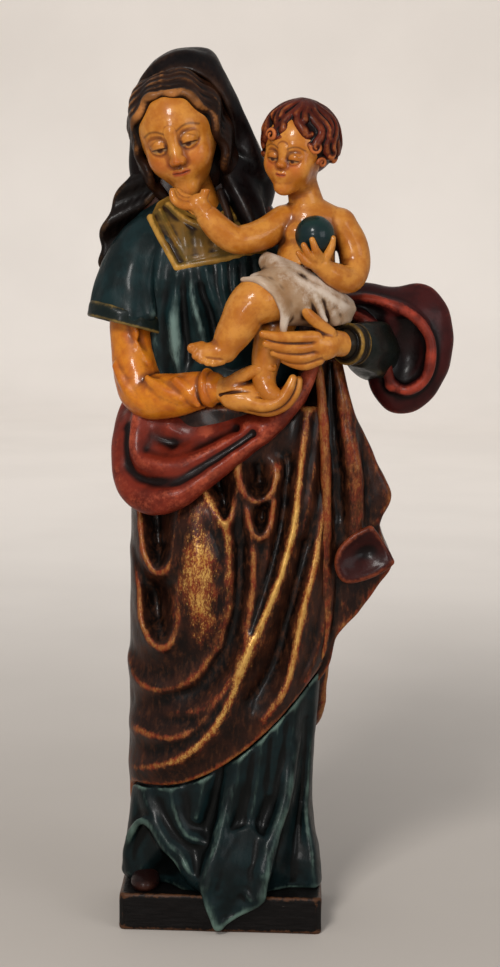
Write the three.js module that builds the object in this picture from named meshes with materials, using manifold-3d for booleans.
// Carved and painted wooden figure of a standing mother in a mantle, with a child on her arm.
// It is pieced together as a carver does it: separate blocks with glue joints, dowels and screws.
// Millimetres. +Z is up, -Y is the front, and +X is to the right of someone facing the figure.
// The origin is the centre of the plinth's underside.
import * as THREE from "three";
import { mergeVertices } from "three/addons/utils/BufferGeometryUtils.js";
import Module from "manifold-3d";

// ---------- driving dimensions ----------
const GAP = 0.3; // glue line between two pieces
const PLINTH = { width: 92, depth: 64, height: 17, corner: 4, bevel: 1.2 };
const HEM_PLANE = { height: 86, slope: 0.69 }; // glue joint between gown and mantle, at x = 0
const WAIST_HEIGHT = 214; // glue joint between mantle and bodice
const DOWEL_SIDES = 8;
const BIG_DOWEL = 3;
const SMALL_DOWEL = 1.6;
const SCREW = { head: 4, shank: 2, length: 38, headHeight: 3, sink: 2 };
const ROUND = 10; // sides of a limb
const OUTLINE = 24; // sides of a large block
const HALF_SPACE = 400; // side of a box that stands for a half space

// ---------- colours ----------
const material = (color, roughness, metalness = 0) =>
  new THREE.MeshStandardMaterial({ color, roughness, metalness });
const FINISH = {
  plinth: material(0x15100e, 0.5),
  gown: material(0x24403e, 0.55),
  bodice: material(0x1f3b3a, 0.5),
  gilding: material(0x6b4422, 0.4, 0.5),
  lining: material(0x7c2c22, 0.45),
  scroll: material(0x4c1a1c, 0.45),
  skin: material(0xc98a4b, 0.35),
  undersleeve: material(0xc9812e, 0.35),
  cuff: material(0x8a6a33, 0.45),
  hair: material(0x3b2418, 0.5),
  childHair: material(0x6b2c1a, 0.45),
  veil: material(0x2f1d17, 0.5),
  yoke: material(0x9c7a35, 0.45),
  cloth: material(0xb09a80, 0.5),
  orb: material(0x17383a, 0.3),
  shoe: material(0x4d1f18, 0.5),
  beech: material(0xc2a06b, 0.8),
  steel: material(0x9a9a98, 0.35, 0.9),
};

// ---------- solids from three.js geometry ----------
const wasm = await Module();
wasm.setup();

function solidFrom(geometry) {
  const bare = geometry.clone();
  bare.deleteAttribute("normal");
  bare.deleteAttribute("uv");
  const merged = mergeVertices(bare, 1e-4);
  const mesh = new wasm.Mesh({
    numProp: 3,
    vertProperties: merged.attributes.position.array,
    triVerts: new Uint32Array(merged.index.array),
  });
  return new wasm.Manifold(mesh);
}

function geometryFrom(solid) {
  const mesh = solid.getMesh();
  const geometry = new THREE.BufferGeometry();
  geometry.setAttribute(
    "position",
    new THREE.BufferAttribute(mesh.vertProperties, mesh.numProp),
  );
  geometry.setIndex(new THREE.BufferAttribute(mesh.triVerts, 1));
  geometry.computeVertexNormals();
  return geometry;
}

const join = (...solids) => solids.reduce((all, one) => all.add(one));

// Interpolates rows of numbers smoothly at a place from 0 to 1.
function between(rows, place) {
  const at = place * (rows.length - 1);
  const low = Math.min(Math.floor(at), rows.length - 2);
  const share = at - low;
  return rows[low].map((value, i) => THREE.MathUtils.lerp(value, rows[low + 1][i], share));
}

// A closed tube round a smooth curve, with its own radius at each point and rounded ends.
// flat squeezes the section along the second cross direction.
function limb(points, radii, grow = 0, { sides = ROUND, flat = 1, steps = 2 } = {}) {
  const curve = new THREE.CatmullRomCurve3(points.map((p) => new THREE.Vector3(...p)));
  const rings = (points.length - 1) * steps;
  const frames = curve.computeFrenetFrames(rings + 4, false);
  const geometry = new THREE.CylinderGeometry(1, 1, 1, sides, rings + 4);
  const position = geometry.attributes.position;
  const reach = curve.getLength();
  const vertex = new THREE.Vector3();
  for (let i = 0; i < position.count; i += 1) {
    vertex.fromBufferAttribute(position, i);
    const row = Math.round((0.5 - vertex.y) * (rings + 4));
    const inner = THREE.MathUtils.clamp((row - 2) / rings, 0, 1);
    const radius = between(radii.map((r) => [r + grow]), inner)[0];
    const cap = row < 2 ? 2 - row : Math.max(row - rings - 2, 0);
    const shrink = [1, 0.8, 0.35][cap];
    const push = [0, 0.55, 0.85][cap] * radius * (row < 2 ? -1 : 1);
    const place = curve.getPointAt(inner);
    const tangent = curve.getTangentAt(inner);
    const frame = Math.min(Math.round(inner * (rings + 4)), rings + 4);
    const angle = Math.atan2(vertex.z, vertex.x);
    const across = Math.hypot(vertex.x, vertex.z) * radius * shrink;
    place.addScaledVector(tangent, Math.min(Math.abs(push), reach) * Math.sign(push));
    place.addScaledVector(frames.normals[frame], across * Math.cos(angle));
    place.addScaledVector(frames.binormals[frame], across * flat * Math.sin(angle));
    position.setXYZ(i, place.x, place.y, place.z);
  }
  return outwards(geometry);
}

// Tapered rods with round ends from point to point, for limbs with sharp bends.
function chain(points, radii, grow = 0, sides = 8) {
  const rods = points.slice(1).map((end, i) => {
    const from = new THREE.Vector3(...points[i]);
    const to = new THREE.Vector3(...end);
    const reach = from.distanceTo(to);
    const near = radii[i] + grow;
    const far = radii[i + 1] + grow;
    const profile = [
      [0, -near],
      [near * 0.72, -near * 0.69],
      [near, 0],
      [far, reach],
      [far * 0.72, reach + far * 0.69],
      [0, reach + far],
    ].map(([x, y]) => new THREE.Vector2(x, y));
    const geometry = new THREE.LatheGeometry(profile, sides);
    const along = to.clone().sub(from).normalize();
    geometry.applyQuaternion(
      new THREE.Quaternion().setFromUnitVectors(new THREE.Vector3(0, 1, 0), along),
    );
    geometry.translate(...from.toArray());
    return outwards(geometry);
  });
  return join(...rods);
}

// An upright block through rows of [z, centre x, centre y, half width, half depth].
// flutes and depth carve shallow vertical folds round it.
function block(rows, grow = 0, { sides = OUTLINE, square = 2.4, flutes = 0, depth = 0, steps = 1 } = {}) {
  const rings = (rows.length - 1) * steps;
  const geometry = new THREE.CylinderGeometry(1, 1, 1, sides, rings);
  const position = geometry.attributes.position;
  for (let i = 0; i < position.count; i += 1) {
    const up = position.getY(i) + 0.5;
    const [z, cx, cy, rx, ry] = between(rows, up);
    const angle = Math.atan2(position.getZ(i), position.getX(i));
    const out = Math.hypot(position.getX(i), position.getZ(i));
    const fold = 1 + depth * Math.cos(flutes * angle + z / 30);
    const c = Math.cos(angle);
    const s = Math.sin(angle);
    const bulge = (Math.abs(c) ** square + Math.abs(s) ** square) ** (-1 / square);
    position.setXYZ(
      i,
      cx + out * c * bulge * (rx * fold + grow),
      cy + out * s * bulge * (ry * fold + grow),
      z + (up > 0.999 ? grow : 0) - (up < 0.001 ? grow : 0),
    );
  }
  return outwards(geometry);
}

function ball(centre, radii, grow = 0, tilt = [0, 0, 0], detail = 12) {
  const geometry = new THREE.SphereGeometry(1, detail, Math.round(detail * 0.6));
  geometry.scale(...radii.map((r) => r + grow));
  geometry.applyMatrix4(new THREE.Matrix4().makeRotationFromEuler(new THREE.Euler(...tilt)));
  geometry.translate(...centre);
  return solidFrom(geometry);
}

// A cylinder between two points.
function rod(from, to, radius, sides = DOWEL_SIDES) {
  const a = new THREE.Vector3(...from);
  const b = new THREE.Vector3(...to);
  const geometry = new THREE.CylinderGeometry(radius, radius, a.distanceTo(b), sides, 1);
  const along = b.clone().sub(a).normalize();
  geometry.applyQuaternion(
    new THREE.Quaternion().setFromUnitVectors(new THREE.Vector3(0, 1, 0), along),
  );
  geometry.translate(...a.add(b).multiplyScalar(0.5).toArray());
  return solidFrom(geometry);
}

// A slab whose outline is drawn in the front view as [x, z], from y = front to y = back.
function slab(outline, front, back, grow = 0, rounded = false) {
  const centre = outline
    .reduce((sum, p) => [sum[0] + p[0], sum[1] + p[1]], [0, 0])
    .map((sum) => sum / outline.length);
  const pushed = outline.map(([x, z]) => {
    const away = Math.hypot(x - centre[0], z - centre[1]);
    const share = (away + grow * 1.5) / away;
    return new THREE.Vector2(centre[0] + (x - centre[0]) * share, centre[1] + (z - centre[1]) * share);
  });
  const shape = new THREE.Shape();
  if (rounded) shape.setFromPoints(new THREE.SplineCurve([...pushed, pushed[0]]).getPoints(28));
  else shape.setFromPoints(pushed);
  const depth = back - front + 2 * grow;
  const geometry = new THREE.ExtrudeGeometry(shape, { depth, bevelEnabled: false });
  geometry.rotateX(Math.PI / 2);
  geometry.translate(0, back + grow, 0);
  return outwards(geometry);
}

// Some mappings turn a geometry inside out, so its faces are reversed where that happened.
function outwards(geometry) {
  const solid = solidFrom(geometry);
  if (solid.volume() > 0) return solid;
  const index = geometry.index ?? geometry.toNonIndexed().index;
  if (!index) return solidFrom(reversed(geometry));
  for (let i = 0; i < index.count; i += 3) {
    const second = index.getX(i + 1);
    index.setX(i + 1, index.getX(i + 2));
    index.setX(i + 2, second);
  }
  return solidFrom(geometry);
}

function reversed(geometry) {
  const position = geometry.attributes.position;
  const turned = new Float32Array(position.array.length);
  for (let i = 0; i < position.count; i += 3) {
    [0, 2, 1].forEach((from, to) => {
      for (let k = 0; k < 3; k += 1) {
        turned[(i + to) * 3 + k] = position.array[(i + from) * 3 + k];
      }
    });
  }
  return new THREE.BufferGeometry().setAttribute("position", new THREE.BufferAttribute(turned, 3));
}

// Everything above (side = 1) or below (side = -1) the slanting hem joint, moved up by lift.
function beyondHem(side, lift) {
  const geometry = new THREE.BoxGeometry(HALF_SPACE, HALF_SPACE, HALF_SPACE);
  geometry.translate(0, 0, (side * HALF_SPACE) / 2);
  geometry.rotateY(-Math.atan(HEM_PLANE.slope));
  geometry.translate(0, 0, HEM_PLANE.height + lift);
  return solidFrom(geometry);
}

// Everything on the far side of a plane through a point, along a direction.
function beyond(point, direction) {
  const geometry = new THREE.BoxGeometry(HALF_SPACE, HALF_SPACE, HALF_SPACE);
  geometry.translate(0, HALF_SPACE / 2, 0);
  geometry.applyQuaternion(
    new THREE.Quaternion().setFromUnitVectors(
      new THREE.Vector3(0, 1, 0),
      new THREE.Vector3(...direction).normalize(),
    ),
  );
  geometry.translate(...point);
  return solidFrom(geometry);
}

// ---------- fasteners ----------
const dowel = (from, to, radius) => (grow) => rod(from, to, radius + grow);

function woodScrew(x, y) {
  return (grow) => {
    const { head, shank, length, headHeight, sink } = SCREW;
    const low = sink - (grow ? sink + 1 : 0);
    return join(
      rod([x, y, low], [x, y, sink + headHeight], head + grow, 12),
      rod([x, y, sink + 1], [x, y, sink + length + grow], shank + grow),
    );
  };
}

// ---------- the mother ----------
const gownRows = [
  [17.3, 1, -1, 43, 27],
  [30, 0.5, -1, 43, 27.5],
  [45, -1, -1, 41.5, 27],
  [60, 0, 0, 40.5, 27],
  [90, 1, 0, 41, 27],
  [128, 2, 0, 43, 27],
];

// The gown ends in a fold that hangs over the plinth's front edge.
function gown(grow) {
  const skirt = block(gownRows, grow, { flutes: 9, depth: 0.035, square: 2.7 });
  const frontFold = limb(
    [[2, -24, 56], [3, -31, 34], [5, -35.5, 20], [1, -36, 8.5]],
    [7, 9, 11, 5],
    grow,
    { flat: 0.45 },
  );
  return join(skirt, frontFold).subtract(beyondHem(1, -GAP / 2));
}

const mantleRows = [
  [48, 0.5, 0, 43, 30],
  [80, 1, 0, 44, 31],
  [128, 2, 0, 46.5, 31],
  [160, 3, 0, 47, 31],
  [185, 2, 0, 46, 30],
  [203, 3, 0, 47, 29],
  [WAIST_HEIGHT, 3, 0, 47, 28],
];

// Folds that stand out from the wrap: its long diagonals, two hanging slings and the knee.
const wrapFolds = [
  [[[36, -20, 226], [32, -25, 198], [23, -27, 163], [3, -29, 112], [-30, -24, 76]], [4, 6, 6, 6, 3]],
  [[[43, -15, 205], [37, -21, 168], [30, -24, 128], [18, -27, 98]], [3, 5, 5, 4]],
  [[[-41, -17, 192], [-37, -24, 169], [-27, -26, 163], [-21, -27, 186]], [3, 4, 4, 3]],
  [[[-41, -17, 162], [-37, -24, 139], [-27, -26, 131], [-20, -27, 146]], [3, 4, 4, 3]],
  [[[-14, -25, 200], [-9, -25, 175], [-13, -24, 146], [-17, -24, 120]], [6, 10, 9, 4]],
];

function mantleWrap(grow) {
  const wrap = block(mantleRows, grow, { flutes: 11, depth: 0.03 });
  const folds = wrapFolds.map(([points, radii]) =>
    limb(points, radii, grow, { sides: 8, steps: 1 }),
  );
  return join(wrap, ...folds).subtract(beyondHem(-1, GAP / 2));
}

// The mantle's fall under her left arm, which flares out to a turned-up corner.
const mantleFall = (grow) =>
  join(
    slab(
      [[30, 262], [50, 252], [61, 226], [72, 199], [67, 184], [74, 166], [66, 152], [47, 124], [30, 124]],
      -14,
      12,
      grow,
    ),
    limb([[47, -10, 250], [52, -12, 228], [56, -13, 207], [58, -12, 180]], [4, 5, 5, 4], grow, {
      sides: 8,
      steps: 1,
    }),
  );

const mantleCorner = (grow) =>
  slab([[66, 184], [74, 168], [64, 164], [51, 161], [50, 172], [57, 180]], -23, -16.7, grow);

// The mantle's top edge, turned over to show its red lining in a deep sling across the hips.
const liningSling = (grow) =>
  limb(
    [
      [-40, 12, 238],
      [-44, -2, 228],
      [-44, -14, 211],
      [-37, -22, 199],
      [-22, -27, 198],
      [2, -28, 212],
      [24, -25, 231],
      [38, -20, 253],
    ],
    [5, 7, 8, 9, 10, 9, 8, 5],
    grow,
  );

const bodiceRows = [
  [WAIST_HEIGHT + GAP, -1, 0, 41, 24],
  [240, -3, 0, 37, 23],
  [265, -5, 0, 36, 23],
  [288, -9, 0, 38, 23],
  [308, -12, 0, 38, 20],
  [320, -14, 1, 31, 15],
  [327, -15, 2, 14, 10],
];

const bodice = (grow) => block(bodiceRows, grow, { flutes: 12, depth: 0.012, square: 2.2 });

// The square inset at the neck, let into the bodice.
const yoke = (grow) =>
  slab([[-25, 300], [14, 308.5], [14, 327], [-37, 325]], -34, -11, grow).intersect(
    block(bodiceRows, grow + 1.2, { square: 2.2 }),
  );

const mantleBackRows = [
  [WAIST_HEIGHT + GAP, 4, 17, 44, 15],
  [245, 3, 17, 43, 14],
  [280, -2, 16, 41, 14],
  [305, -9, 15, 39, 13],
  [322, -13, 13, 30, 11],
  [334, -15, 12, 18, 9],
];
const mantleBack = (grow) => block(mantleBackRows, grow, { flutes: 9, depth: 0.03, square: 2.5 });

// The mantle's end, thrown back over her left arm in a rolled scroll with a deep hollow.
function mantleScroll(grow) {
  const roll = ball([79, 3, 266], [19.5, 13, 29.5], grow, [0, 0.18, 0], 14);
  const root = limb([[44, 12, 276], [58, 9, 284], [72, 5, 284]], [11, 11, 9], grow);
  const bottom = limb([[52, 8, 258], [62, 4, 252], [72, 2, 250]], [10, 9, 8], grow);
  const hollow = ball([82, -11, 264], [10, 10, 17], -grow, [0, 0.18, 0]);
  return join(roll, root, bottom).subtract(hollow);
}

function head(grow) {
  const skull = ball([-25.5, -9, 358], [17.5, 20, 23.5], grow, [0.25, -0.2, 0], 14);
  const neck = limb([[-15, 0, 316], [-17, -3, 330], [-22, -5, 344]], [10, 9, 9], grow);
  return join(skull, neck);
}

function hair(grow) {
  const mass = ball([-24.5, -2, 361], [22, 21.5, 24], grow, [0.2, -0.1, 0], 14);
  const viewerLeft = limb(
    [[-43, -3, 366], [-48, -4, 355], [-45, -1, 340], [-50, 4, 325], [-55, 6, 306]],
    [6, 6, 6, 6, 4],
    grow,
  );
  const viewerRight = limb(
    [[-6, -2, 362], [0, -3, 350], [5, -5, 337], [6, -9, 324]],
    [7, 7.5, 8, 5],
    grow,
  );
  const facePlane = beyond([-26, -13 - grow, 356], [0, -1, -0.05]);
  return join(mass.subtract(facePlane), viewerLeft, viewerRight);
}

function veil(grow) {
  const hood = ball([-21, 5, 368], [26.5, 26, 29], grow, [0.1, 0.1, 0], 16);
  const fall = limb(
    [[-8, 6, 376], [1, 8, 362], [9, 9, 346], [13, 8, 330], [12, 4, 320]],
    [10, 11, 11, 12, 8],
    grow,
  );
  const opening = beyond([-21, -6 - grow, 380], [0.05, -1, 0.1]);
  return join(hood.subtract(opening), fall).subtract(beyond([0, 16 + grow, 330], [0, 0.6, -1]));
}

const sleeveRight = (grow) =>
  limb([[-36, 0, 312], [-44, -4, 298], [-47, -8, 283]], [12, 14.5, 16], grow, { sides: 14 });
const sleeveCuffRight = (grow) =>
  limb([[-47.6, -8.6, 280], [-48.2, -9.4, 277]], [17, 17.2], grow, { sides: 14, steps: 2 })
    .intersect(beyond([-48, -9, 282 + grow], [0.1, 0.12, -1]))
    .intersect(beyond([-48, -9, 272 - grow], [-0.1, -0.12, 1]));

const armRight = (grow) =>
  chain(
    [[-46, -9, 284], [-43.5, -11, 262], [-38, -17, 246], [-22, -26, 247], [-7, -32, 249]],
    [9.5, 10, 10.5, 9, 7],
    grow,
  ).subtract(beyond([-4.8 + grow, -32, 249], [1, 0, 0]));

const handRight = (grow) =>
  join(
    chain([[-6, -32, 249], [6, -36, 247], [17, -40, 245], [27, -41, 250]], [6, 6, 4.8, 2.5], grow),
    chain([[4, -37, 250], [12, -40, 255], [17, -42, 259]], [4, 3, 2], grow),
  ).subtract(beyond([-4.8 - grow, -32, 249], [-1, 0, 0]));

const sleeveLeft = (grow) =>
  limb([[56, 4, 262], [58.5, -12, 266], [57.5, -24, 268]], [14, 12.5, 10], grow);
const cuffLeft = (grow) =>
  limb([[55.5, -29, 269], [53.5, -33, 269.5]], [9, 8.6], grow, { steps: 2 });

const handLeft = (grow) =>
  join(
    chain([[49, -37, 270], [38, -43, 271], [27, -47, 270], [15, -49, 273]], [6, 6, 5, 2.6], grow),
    chain([[43, -42, 274], [36, -46, 280], [31, -48, 286]], [3.6, 3, 2.2], grow),
  );

const shoe = (grow) => ball([-33, -25, 22.5], [6, 9, 5], grow, [0, 0, 0], 12);

// ---------- the child ----------
const childTorso = (grow) =>
  block(
    [
      [292, 33, -24, 13, 11],
      [303, 32.5, -25, 14.5, 12],
      [315, 33, -25, 14.5, 10.5],
      [324, 34, -25, 16, 9.5],
      [329, 33, -26, 8, 7],
      [333, 31.5, -27, 6.2, 6.2],
      [339, 29.5, -28, 5.8, 5.8],
    ],
    grow,
    { sides: 16, square: 2 },
  );

const childHead = (grow) => ball([27.4, -30, 352.6], [13.6, 14.8, 17.6], grow, [0.15, 0, 0], 14);

const childHair = (grow) =>
  ball([28.4, -27, 356.6], [16.4, 16.4, 17], grow, [0, 0, 0], 14).subtract(
    beyond([27, -34.6 - grow, 349], [-0.25, -1, -0.35]),
  );

const childArmRight = (grow) =>
  join(
    chain([[20, -28, 323], [10, -34, 314], [1, -38, 313], [-9, -40, 322], [-15, -41, 329]], [6.5, 6.5, 6.5, 5, 4], grow),
    ball([-18.5, -42, 331], [5.5, 4, 5], grow, [0, 0, 0], 12),
  );

const childArmLeft = (grow) =>
  join(
    chain([[48, -24, 321], [52, -28, 302], [42, -38, 303]], [6, 6, 4], grow),
    chain([[42, -39, 303], [34, -48, 306], [32, -50.5, 312]], [4, 2.4, 1.8], grow),
  );

const orb = (grow) => ball([35.6, -43, 316.5], [8.5, 8.5, 8.5], grow, [0, 0, 0], 14);

const childLegRight = (grow) =>
  join(
    chain([[30, -35, 290], [10, -46, 287], [-3, -48, 268]], [11, 10, 5], grow),
    chain([[-2, -50, 266], [-8, -51, 264.5], [-13, -52, 264.5]], [4.6, 4.4, 3], grow),
  );

const childLegLeft = (grow) =>
  join(
    chain([[26, -33, 282], [18, -36, 272], [15.5, -36, 260]], [8, 8, 6], grow),
    chain([[15.5, -37, 258], [14, -40, 251], [12, -42, 247]], [5.6, 4.6, 3], grow),
  );

const loincloth = (grow) =>
  join(
    chain([[19, -28, 302], [31, -31, 299], [44, -28, 293]], [7, 11, 8], grow),
    chain([[25, -30, 289], [44, -28, 283]], [9, 8], grow),
  );

// ---------- the plinth ----------
function plinth(grow) {
  const { width, depth, height, corner, bevel } = PLINTH;
  const x = width / 2 - bevel;
  const y = depth / 2 - bevel;
  const shape = new THREE.Shape();
  shape.moveTo(-x + corner, -y);
  shape.lineTo(x - corner, -y);
  shape.lineTo(x, -y + corner);
  shape.lineTo(x, y - corner);
  shape.lineTo(x - corner, y);
  shape.lineTo(-x + corner, y);
  shape.lineTo(-x, y - corner);
  shape.lineTo(-x, -y + corner);
  const geometry = new THREE.ExtrudeGeometry(shape, {
    depth: height - 2 * bevel,
    bevelThickness: bevel + grow,
    bevelSize: bevel + grow,
    bevelSegments: 1,
  });
  geometry.translate(0, 0, bevel);
  return outwards(geometry);
}

// ---------- assembly ----------
// Each row is [name, finish, group, solid]. A piece is cut back by every piece above it in the list.
const PIECES = [
  ["screw_left", "steel", "base", woodScrew(-20, 2)],
  ["screw_right", "steel", "base", woodScrew(22, 2)],
  ["dowel_hem_left", "beech", "mother", dowel([-16, 4, 60], [-16, 4, 90], BIG_DOWEL)],
  ["dowel_hem_right", "beech", "mother", dowel([18, 4, 84], [18, 4, 114], BIG_DOWEL)],
  ["dowel_waist_left", "beech", "mother", dowel([-18, 4, 200], [-18, 4, 229], BIG_DOWEL)],
  ["dowel_waist_right", "beech", "mother", dowel([16, 4, 200], [16, 4, 229], BIG_DOWEL)],
  ["dowel_neck", "beech", "mother", dowel([-14, 1, 302], [-16.5, -2, 327], BIG_DOWEL)],
  ["dowel_wrist_right", "beech", "mother", dowel([-13, -31, 248.5], [3, -34.5, 248], SMALL_DOWEL)],
  ["dowel_wrist_left", "beech", "mother", dowel([44, -40, 271], [57, -24, 268], SMALL_DOWEL)],
  ["dowel_scroll", "beech", "mother", dowel([42, 12, 272], [74, 8, 275], SMALL_DOWEL + 0.6)],
  ["dowel_child_seat", "beech", "child", dowel([27, -8, 304], [31, -27, 308], SMALL_DOWEL + 0.4)],
  ["dowel_child_neck", "beech", "child", dowel([32, -27, 322], [30.5, -29, 343], SMALL_DOWEL)],
  ["head", "skin", "mother", head],
  ["child_head", "skin", "child", childHead],
  ["orb", "orb", "child", orb],
  ["child_arm_left", "skin", "child", childArmLeft],
  ["child_arm_right", "skin", "child", childArmRight],
  ["child_leg_right", "skin", "child", childLegRight],
  ["child_leg_left", "skin", "child", childLegLeft],
  ["hand_left", "skin", "mother", handLeft],
  ["hand_right", "skin", "mother", handRight],
  ["cuff_left", "cuff", "mother", cuffLeft],
  ["child_torso", "skin", "child", childTorso],
  ["child_hair", "childHair", "child", childHair],
  ["loincloth", "cloth", "child", loincloth],
  ["sleeve_cuff_right", "cuff", "mother", sleeveCuffRight],
  ["arm_right", "undersleeve", "mother", armRight],
  ["sleeve_right", "bodice", "mother", sleeveRight],
  ["sleeve_left", "gown", "mother", sleeveLeft],
  ["hair", "hair", "mother", hair],
  ["veil", "veil", "mother", veil],
  ["yoke", "yoke", "mother", yoke],
  ["bodice", "bodice", "mother", bodice],
  ["mantle_scroll", "scroll", "mother", mantleScroll],
  ["mantle_back", "gilding", "mother", mantleBack],
  ["mantle_wrap", "gilding", "mother", mantleWrap],
  ["lining_sling", "lining", "mother", liningSling],
  ["mantle_corner", "lining", "mother", mantleCorner],
  ["mantle_fall", "gilding", "mother", mantleFall],
  ["shoe", "shoe", "mother", shoe],
  ["gown", "gown", "mother", gown],
  ["plinth", "plinth", "base", plinth],
];

const touches = (a, b) =>
  [0, 1, 2].every((k) => a.min[k] < b.max[k] && b.min[k] < a.max[k]);

// Cutting can leave a crumb beside a piece, which a carver would knock off.
function largestBody(solid) {
  return solid.decompose().reduce((best, one) => (one.volume() > best.volume() ? one : best));
}

function assemble() {
  const figure = new THREE.Group();
  const groups = {};
  for (const name of ["base", "mother", "child"]) {
    groups[name] = new THREE.Group();
    groups[name].name = `${name}_group`;
    figure.add(groups[name]);
  }
  const placed = [];
  for (const [name, finish, group, make] of PIECES) {
    let solid = make(0);
    for (const other of placed) {
      if (touches(other.box, solid.boundingBox())) solid = solid.subtract(other.grown);
    }
    solid = largestBody(solid);
    const grown = make(GAP);
    placed.push({ grown, box: grown.boundingBox() });
    const geometry = geometryFrom(solid);
    geometry.computeBoundingBox();
    const anchor = geometry.boundingBox.getCenter(new THREE.Vector3()).round();
    geometry.translate(-anchor.x, -anchor.y, -anchor.z);
    const mesh = new THREE.Mesh(geometry, FINISH[finish]);
    mesh.name = name;
    mesh.position.copy(anchor);
    groups[group].add(mesh);
  }
  return figure;
}

export default assemble();
